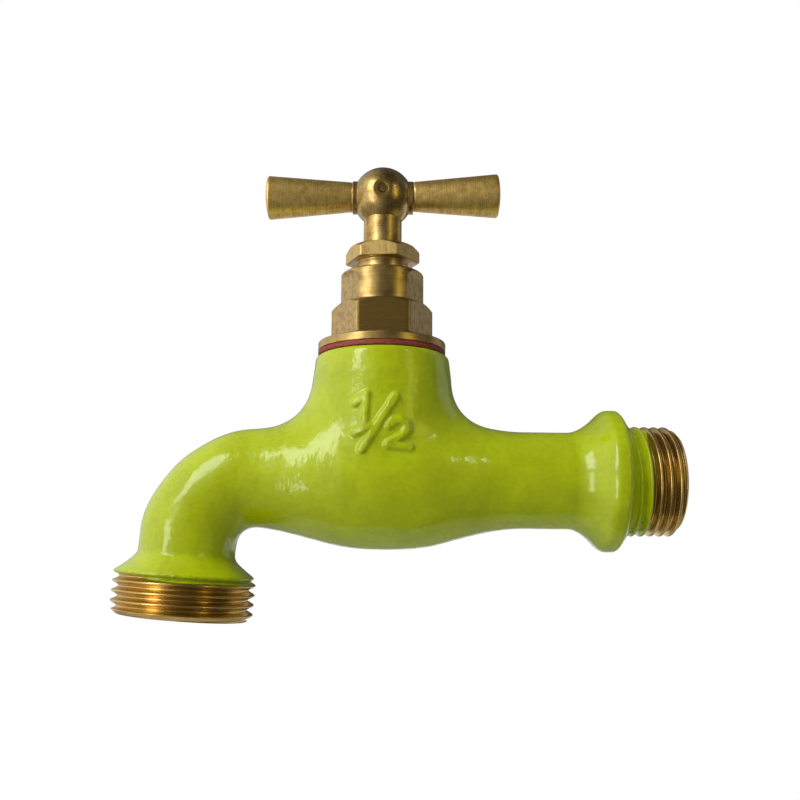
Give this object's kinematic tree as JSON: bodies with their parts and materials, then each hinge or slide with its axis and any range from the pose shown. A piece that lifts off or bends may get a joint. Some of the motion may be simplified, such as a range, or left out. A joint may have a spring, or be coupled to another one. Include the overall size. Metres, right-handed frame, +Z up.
{
  "type": "garden tap",
  "caption": "Screw-down garden tap with a threaded wall inlet, a down-turned threaded hose outlet and a tee handle on a rising spindle.",
  "frame": {"origin": "on the inlet axis, where the wall thread starts", "axes": "+X along the inlet axis towards the wall, +Z up along the valve spindle's direction, the outlet at the far -X end pointing down"},
  "size_m": [0.1065, 0.0272, 0.0893],
  "materials": {
    "green_enamel": "thick glossy lime-green enamel on cast brass, with bare golden threads",
    "red_fibre": "matt vulcanised fibre, dull red",
    "cast_brass": "forged brass, grainy on the flats and bright where turned",
    "turned_brass": "turned brass, satin with fine rings",
    "polished_brass": "smooth turned brass, softly polished",
    "pin_brass": "dull brass, filed flush",
    "graphite_packing": "braided graphited yarn, pressed to a ring",
    "black_rubber": "black rubber, matt"
  },
  "bodies": {
    "tap": {"tap_body": "green_enamel", "bonnet_gasket": "red_fibre", "bonnet": "cast_brass", "gland_nut": "turned_brass", "gland_washer": "turned_brass", "gland_packing": "graphite_packing"},
    "valve": {"valve_jumper": "turned_brass", "valve_washer": "black_rubber", "washer_nut": "turned_brass"},
    "handle": {"spindle": "turned_brass", "handle_hub": "polished_brass", "handle_arm_left": "polished_brass", "handle_arm_right": "polished_brass", "handle_pin": "pin_brass"}
  },
  "joints": [
    {"name": "valve_lift", "type": "slide", "parent": "tap", "child": "valve", "axis": [0, 0, 1], "range_m": [0, 0.0045]},
    {"name": "handle_turn", "type": "hinge", "parent": "valve", "child": "handle", "pos_m": [-0.0487, 0, 0], "axis": [0, 0, 1], "range_deg": [0, 810]}
  ],
  "couplings": [
    {"joint": "valve_lift", "follows": "handle_turn", "m_per_rad": 0.00031831}
  ]
}
